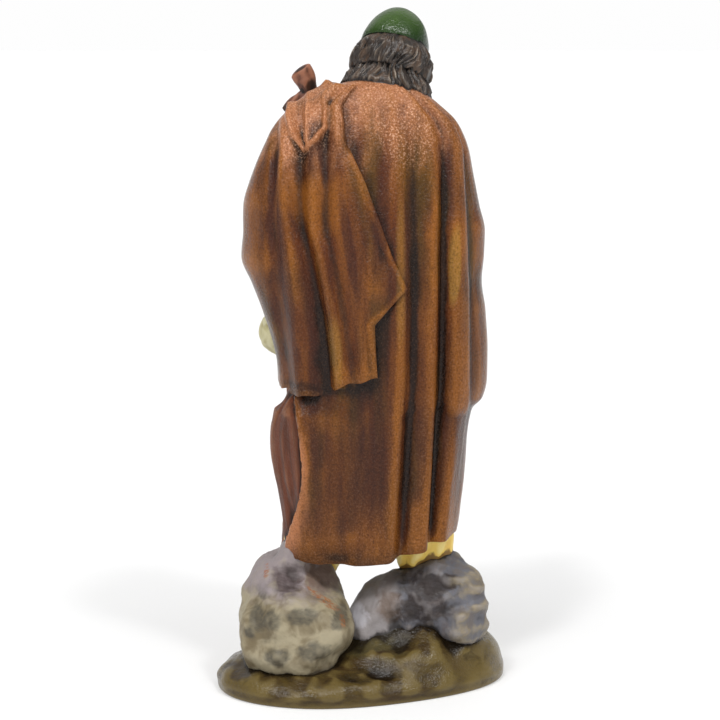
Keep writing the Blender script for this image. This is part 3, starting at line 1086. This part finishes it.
def legs():
    forms = []
    for name, x, y, out in (("left", 14.5, -4.0, 0.18), ("right", -18.6, -2.0, -0.12)):
        forms.append(limbForm(name + "Breeches", [(x, y + 1, 52), (x, y + 1, 44), (x, y + 0.6, 37.5), (x, y, 34.4)],
                              [8.4, 9.0, 8.7, 7.6], "breechesYellow", 90, 44, lambda turn, along:
                              0.35 * np.cos(9 * turn + 2 * np.sin(along * 5)) * ramp(along, 0.2, 0.9)))
        forms.append(limbForm(name + "Shin", [(x, y, 38), (x, y - 2.4, 28), (x, y - 3.4, 19), (x, y - 3.6, 12)],
                              [5.5, 5.3, 4.4, 4.8], "leggingGrey", 50, 90,
                              lambda turn, along: 0.35 * (np.abs(np.sin(along * 17 + 0.6 * np.sin(turn))) - 0.5)))
        turned = Matrix.Rotation(-out, 3, "Z")
        forms.append(ballForm(name + "Shoe", (x + out * 16, y - 8.6, 11.6), (5.2, 9.6, 5.0), "tunicRusset",
                              turned, 50, 34))
    return forms


boulders = {
    # name, centre, radii, seed, flats, detail, dents, lean
    "left": (
        ("leftBoulder", (20.3, 14.5, 19.4), (18.8, 15.4, 15.6), 5, 18, 6,
         (((0.55, 0.75, 0.15), 0.30, 0.05), ((-0.2, 0.9, 0.1), 0.30, 0.05)), 0.0),
        ("upperRock", (20.2, 3.2, 25.8), (15.0, 11.2, 15.6), 9, 14, 6, (((0.3, 0.8, 0.55), 0.42, 0.05),), 0.0),
        ("linkRock", (20.6, 7.6, 39.4), (4.8, 7.0, 6.4), 2, 12, 5, (), 0.0),
        ("fillRock", (22.8, 9.6, 28.6), (12.0, 9.8, 10.4), 4, 14, 5, (), 0.0),
        ("fillHigh", (22.6, 8.0, 35.6), (6.4, 6.6, 5.6), 6, 12, 5, (), 0.0),
        ("fillLow", (27.0, 15.0, 13.6), (9.4, 12.4, 10.0), 8, 14, 5, (), 0.0),
        ("fillFoot", (19.8, 15.6, 13.2), (13.4, 14.0, 9.6), 10, 14, 5, (), 0.0),
        ("fillSide", (26.2, 12.0, 24.4), (8.8, 10.0, 9.0), 12, 14, 5, (), 0.0),
    ),
    "right": (
        ("rightRock", (-21.8, 3.6, 25.4), (14.6, 12.0, 13.6), 21, 14, 6, (((0.2, 0.85, 0.45), 0.34, 0.08),), 0.0),
        ("rightLedge", (-27.6, 5.2, 30.2), (8.8, 9.6, 6.2), 30, 12, 5, (), 0.0),
        ("rightLedge", (-28.9, 6.2, 25.0), (8.8, 9.8, 6.0), 31, 12, 5, (), 0.0),
        ("rightLedge", (-29.0, 7.2, 19.2), (9.2, 9.8, 7.4), 32, 12, 5, (), 0.0),
        ("smoothRock", (-4.6, 5.0, 19.6), (10.4, 9.6, 14.2), 13, 14, 5, (), -0.3),
        ("fillStone", (-11.5, 6.4, 25.0), (8.6, 8.4, 9.6), 14, 14, 5, (), 0.0),
    ),
    "voxel": 0.55, "softening": 44, "roughness": 0.3,
    # pressed hollows: centre, size, depth
    "leftHollows": (((22.0, 17.0, 34.6), 6.4, 1.4), ((13.0, 20.0, 33.5), 4.5, 0.7), ((24.0, 30.0, 15.0), 6.0, 0.3),
                    ((31.5, 24.0, 27.0), 5.0, 0.3), ((18.0, 30.0, 24.5), 4.6, 0.3)),
    "rightHollows": (((-20.0, 15.0, 31.0), 6.0, 0.9), ((-12.0, 14.5, 22.0), 5.5, 0.9), ((-2.0, 14.0, 30.0), 6.0, 0.5)),
}


def rock(name, centre, radii, seed, facets, detail, dents, lean):
    random = np.random.default_rng(seed)
    k = np.arange(facets)
    up = 1 - 2 * (k + 0.5) / facets
    around = k * 2.39996 + random.uniform(-0.5, 0.5, facets)
    flats = np.stack([np.cos(around) * np.sqrt(1 - up * up), np.sin(around) * np.sqrt(1 - up * up), up], axis=1)
    reach = random.uniform(0.80, 0.98, facets)
    bpy.ops.object.select_all(action="DESELECT")
    bpy.ops.mesh.primitive_ico_sphere_add(subdivisions=detail, radius=1)
    obj = bpy.context.active_object
    obj.name = name
    ways = readPoints(obj)
    ways /= np.linalg.norm(ways, axis=1, keepdims=True)
    closeness = np.maximum(ways @ flats.T, 0.05) / reach
    radius = (closeness ** 14.0).sum(axis=1) ** (-1 / 14.0)
    for way, width, deep in dents:
        way = np.array(way, float) / np.linalg.norm(way)
        radius = radius - deep * ramp(ways @ way, math.cos(width), math.cos(width * 0.45))
    points = ways * radius[:, None] * np.array(radii)
    points[:, 0] += lean * points[:, 2]
    writePoints(obj, toMetres(points + np.array(centre)))
    turnFacesOut(obj)
    return obj


def carve(obj, depthOf):  # moves every point outwards by depthOf(x, y, z), all in mm
    points, normals = readPoints(obj), readNormals(obj)
    writePoints(obj, points + normals * depthOf(*(points * 1000).T)[:, None] * 0.001)


def rockMasses():
    masses = []
    for side, paint in (("left", "boulderCream"), ("right", "rockGrey")):
        mass = meltTogether(side + "Mass", [rock(*row) for row in boulders[side]], boulders["voxel"],
                            boulders["softening"], paint)

        def hollows(x, y, z):
            total = np.zeros_like(x)
            for (cx, cy, cz), size, depth in boulders[side + "Hollows"]:
                far = np.sqrt((x - cx) ** 2 + (y - cy) ** 2 + (z - cz) ** 2) / size
                total = total - depth * (1 - ramp(far, 0.35, 1.0))
            if side == "right":  # weathered ledges along the outer end
                ledge = np.cos((z + 0.22 * x + 0.9 * np.sin(y / 3.5)) * fullTurn / 5.4)
                total = total + 0.26 * ledge * ramp(-x, 18, 27) * ramp(z, 13, 18)
            return total + 0.16 * ripple(x, y, z, 5.0, 41) + 0.07 * ripple(x, y, z, 1.8, 42)
        carve(mass, hollows)
        roughen(mass, 3.5, boulders["roughness"])
        masses.append(mass)
    return masses


plinth = {
    "length": 89.5, "depth": 62.0, "rim": 8.0, "turn": 21.0, "mound": 9.0, "ovalPower": 0.92,
    "profile": ((0.0, 0.0), (0.955, 0.0), (0.985, 0.08), (1.0, 0.36), (0.98, 0.60), (0.935, 0.79), (0.86, 0.93),
                (0.75, 1.03), (0.60, 1.09), (0.42, 1.12), (0.0, 1.12)),
    # hollows and lumps of the mud: x, y, half sizes, turn in degrees, height
    "lumps": ((-13.0, 10.5, 13.0, 9.0, 0, 4.4), (-4.5, 24.0, 5.4, 2.6, -8, -2.3), (-4.0, 19.8, 6.0, 1.9, -8, 1.1),
              (-26.0, 14.0, 4.6, 2.6, -25, -2.1), (-11.0, 15.5, 4.5, 2.6, 10, -1.4), (-16.0, 20.5, 5.0, 2.2, 12, 1.3),
              (2.5, 27.5, 4.4, 2.0, 0, -1.2), (-24.0, 18.6, 5.0, 1.8, -10, 0.9), (-20.0, 25.0, 5.0, 2.2, 8, -1.0),
              (34.0, 26.0, 5.0, 3.0, 20, 0.7), (38.0, 20.0, 4.0, 3.0, 0, -0.8), (12.0, 30.0, 6.0, 2.4, 5, 0.4),
              (-33.0, 8.0, 5.0, 3.0, 30, 0.8), (-20.0, -16.0, 6.0, 4.0, 10, 0.8), (8.0, -18.0, 7.0, 4.0, 0, -0.8)),
}


def ground():
    a = plinth
    shares, levels = zip(*a["profile"])
    cut = (0.0, 0.20, 0.24, 0.32, 0.40, 0.46, 0.54, 0.64, 0.75, 0.86, 1.0)
    spin = math.radians(a["turn"])

    def shape(turn, share):
        out = smoothCurve(cut, shares, share)
        level = smoothCurve(cut, levels, share)
        wobble = 1 + 0.012 * np.sin(3 * turn + 0.6) + 0.008 * np.sin(5 * turn + 2.0)
        c, s = np.cos(turn), np.sin(turn)
        x0 = a["length"] / 2 * out * wobble * np.sign(c) * np.abs(c) ** a["ovalPower"]
        y0 = a["depth"] / 2 * out * wobble * np.sign(s) * np.abs(s) ** a["ovalPower"]
        x, y = x0 * math.cos(spin) - y0 * math.sin(spin), x0 * math.sin(spin) + y0 * math.cos(spin)
        rise = a["mound"] * (np.exp(-((x + 24) / 15) ** 2 - ((y - 6) / 13) ** 2)
                             + 0.45 * np.exp(-((x - 18) / 17) ** 2 - ((y - 8) / 13) ** 2)
                             + 0.5 * np.exp(-((x + 1) / 12) ** 2 - ((y - 6) / 12) ** 2)
                             + 0.5 * np.exp(-((x + 38) / 9) ** 2 - ((y + 6) / 12) ** 2))
        for lumpX, lumpY, sizeX, sizeY, degrees, height in a["lumps"]:
            angle = math.radians(degrees)
            u = (x - lumpX) * math.cos(angle) + (y - lumpY) * math.sin(angle)
            v = -(x - lumpX) * math.sin(angle) + (y - lumpY) * math.cos(angle)
            rise = rise + height * np.exp(-(u / sizeX) ** 2 - (v / sizeY) ** 2)
        rise = rise + 0.28 * ripple(x, y, 0 * x, 9.0, 31) + 0.14 * ripple(x, y, 0 * x, 4.0, 32)
        z = a["rim"] * level + rise * ramp(level, 0.4, 1.05)
        bulge = 0.5 * ripple(x, y, z, 11.0, 33) * ramp(level, 0.1, 0.5)
        length = np.maximum(np.hypot(x, y), 1)
        side = ramp(share, 0.22, 0.3) * (1 - ramp(share, 0.5, 0.6))
        return np.stack([x + x / length * (bulge - 0.4) * side, y + y / length * (bulge - 0.4) * side, z], axis=1)
    return roundForm("plinth", 220, 120, shape, "plinthOlive")


casting = {
    "triangles": 186000, "mergeGap": 0.01, "mends": 12, "smoothAngle": 62,
    # how deep a point lies below its surroundings: name, rounds of smoothing, full depth in mm
    "readings": (("groove", 4, 0.22), ("fold", 46, 1.1)), "readingLimit": 1.5,
}


def takeOut(obj, unwanted):  # deletes the marked faces and fills the holes that they leave
    pickOnly(obj)
    bpy.ops.object.mode_set(mode="EDIT")
    bpy.ops.mesh.select_mode(type="FACE")
    bpy.ops.mesh.select_all(action="DESELECT")
    bpy.ops.object.mode_set(mode="OBJECT")
    obj.data.polygons.foreach_set("select", unwanted)
    bpy.ops.object.mode_set(mode="EDIT")
    bpy.ops.mesh.delete(type="FACE")
    bpy.ops.mesh.select_mode(type="VERT")
    bpy.ops.mesh.select_all(action="SELECT")
    bpy.ops.mesh.delete_loose(use_verts=True, use_edges=True, use_faces=False)
    bpy.ops.mesh.select_all(action="SELECT")
    bpy.ops.mesh.fill_holes(sides=0)
    bpy.ops.object.mode_set(mode="OBJECT")


def mendSeams(obj):  # takes out the torn slivers that uniting and thinning leave
    mesh = obj.data
    for tries in range(casting["mends"]):
        edges, corners = readEach(mesh.loops, "edge_index"), readEach(mesh.loops, "vertex_index")
        sizes, faces = readEach(mesh.polygons, "loop_total"), facesOnEdges(mesh)
        owners = np.repeat(np.arange(len(sizes)), sizes)
        if tries == 0:  # faces that lie double, and those on an edge of more than two faces
            triples = np.sort(corners.reshape(-1, 3), axis=1)
            _, group, counts = np.unique(triples, axis=0, return_inverse=True, return_counts=True)
            torn = (counts[group.ravel()] > 1) | (np.bincount(owners, faces[edges] > 2) > 0)
        elif (faces == 2).all():
            break
        else:  # what is round an edge that isn't closed yet
            near = np.zeros(len(mesh.vertices), bool)
            near[readEach(mesh.edges, "vertices", int, 2)[faces != 2].ravel()] = True
            torn = np.bincount(owners, near[corners]) > 0
        takeOut(obj, torn)
        print("seams mended:", int(torn.sum()), "torn faces, open edges left:", openEdges(obj))


def castAsOne(forms):
    for form in forms:
        if openEdges(form):
            print("not closed:", form.name)
    main, others = forms[0], forms[1:]
    group = bpy.data.collections.new("toUnite")
    bpy.context.scene.collection.children.link(group)
    for form in others:
        group.objects.link(form)
    union = main.modifiers.new("union", "BOOLEAN")
    union.operation = "UNION"
    union.operand_type = "COLLECTION"
    union.collection = group
    union.solver = "MANIFOLD"
    applyModifiers(main)
    for form in others:
        bpy.data.objects.remove(form)
    bpy.data.collections.remove(group)
    main.name = "shepherd"
    pickOnly(main)
    bpy.ops.object.mode_set(mode="EDIT")
    bpy.ops.mesh.select_all(action="SELECT")
    bpy.ops.mesh.remove_doubles(threshold=casting["mergeGap"] * 0.001)
    bpy.ops.mesh.quads_convert_to_tris()
    bpy.ops.object.mode_set(mode="OBJECT")
    count = len(main.data.polygons)
    print("casting united,", count, "triangles")
    if count > casting["triangles"]:
        thin = main.modifiers.new("thin", "DECIMATE")
        thin.ratio = casting["triangles"] / count
        applyModifiers(main)
        mendSeams(main)
    pickOnly(main)
    bpy.ops.object.shade_smooth_by_angle(angle=math.radians(casting["smoothAngle"]))
    return main


def readReliefs(obj):  # stores how deep each point lies in a groove, at a fine and a broad size
    mesh = obj.data
    a, b = readEach(mesh.edges, "vertices", int, 2).T
    start, normals = readPoints(obj), readNormals(obj)
    count = len(start)
    here, there = np.concatenate([a, b]), np.concatenate([b, a])
    neighbours = np.maximum(np.bincount(here, minlength=count), 1)
    limit = casting["readingLimit"]
    points = start.copy()
    for name, rounds, fullDepth in casting["readings"]:
        for _ in range(rounds):
            total = np.stack([np.bincount(here, points[there, i], count) for i in range(3)], axis=1)
            points = points + (total / neighbours[:, None] - points) * 0.7
        depth = np.clip(((points - start) * normals).sum(axis=1) / (fullDepth * 0.001), -limit, limit)
        for _ in range(2):
            depth = 0.5 * depth + 0.5 * np.bincount(here, depth[there], count) / neighbours
        mesh.attributes.new(name, "FLOAT", "POINT").data.foreach_set("value", depth.astype(np.float32))
    print("grooves and folds read")


forms = [drapedBody()]
print("body draped")
forms.append(thrownEnd())
print("cloak end thrown over")
forms += face()
forms += hairAndCap()
print("head shaped")
forms += armsAndHands()
forms += branch()
forms += satchelAndBelt()
forms += legs()
print("arms, staff, satchel and legs shaped")
forms += rockMasses()
forms.append(ground())
print("boulders and plinth shaped")
shepherd = castAsOne(forms)
readReliefs(shepherd)
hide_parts("shepherd_figurine")
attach(shepherd, "root")
print("casting finished,", len(shepherd.data.polygons), "faces")


studio = {
    "cameraPlace": (0.0006, 0.620, 0.190), "cameraPitch": 8.52, "lens": 105.45, "floorRadius": 60.0,
    "air": 0.18, "horizon": 0.99,
    # soft lamps: name, direction they shine from, strength, breadth in degrees
    "lamps": (("keyLeft", (0.46, 0.70, 1.0), 1.1, 40), ("keyRight", (-0.66, 0.62, 1.0), 0.8, 40),
              ("glintLeft", (0.34, 0.74, 1.0), 0.95, 7), ("glintRight", (-0.46, 0.66, 1.0), 0.75, 7),
              ("behind", (0.1, -0.8, 1.0), 0.6, 80)),
    "floorColour": (0.6, 0.6, 0.6, 1.0), "floorGlow": 0.33,
}


def setStudio():
    scene = bpy.context.scene
    lens = bpy.data.cameras.new("camera")
    camera = bpy.data.objects.new("camera", lens)
    scene.collection.objects.link(camera)
    camera.location = studio["cameraPlace"]
    camera.rotation_euler = (math.radians(90 - studio["cameraPitch"]), 0, math.pi)
    lens.sensor_width = 36
    lens.lens = studio["lens"]
    lens.clip_start = 0.01
    scene.camera = camera
    bpy.ops.object.select_all(action="DESELECT")
    bpy.ops.mesh.primitive_circle_add(vertices=96, radius=studio["floorRadius"], fill_type="NGON", location=(0, 0, 0))
    floor = bpy.context.active_object
    floor.name = "floor"
    pale = bpy.data.materials.new("paleFloor")
    pale.use_nodes = True
    shader = pale.node_tree.nodes["Principled BSDF"]
    shader.inputs["Base Color"].default_value = studio["floorColour"]
    shader.inputs["Emission Color"].default_value = (1, 1, 1, 1)
    shader.inputs["Emission Strength"].default_value = studio["floorGlow"]
    shader.inputs["Roughness"].default_value = 0.9
    floor.data.materials.append(pale)
    world = bpy.data.worlds.new("studioAir")
    world.use_nodes = True
    air = Wire(world.node_tree)
    upwards = air.node("ShaderNodeSeparateXYZ", inputs={0: air.node("ShaderNodeTexCoord", output=0)}, output=2)
    glow = air.tint(upwards.above(0.04, 0.3), (studio["horizon"],) * 3 + (1,), (studio["air"],) * 3 + (1,))
    world.node_tree.links.new(glow.socket, world.node_tree.nodes["Background"].inputs[0])
    scene.world = world
    for name, place, power, breadth in studio["lamps"]:
        light = bpy.data.lights.new(name, "SUN")
        light.energy = power
        light.angle = math.radians(breadth)
        lamp = bpy.data.objects.new(name, light)
        scene.collection.objects.link(lamp)
        lamp.location = place
        lamp.rotation_euler = Vector(place).to_track_quat("Z", "Y").to_euler()
    scene.view_settings.view_transform = "Standard"


setStudio()
print("studio set")
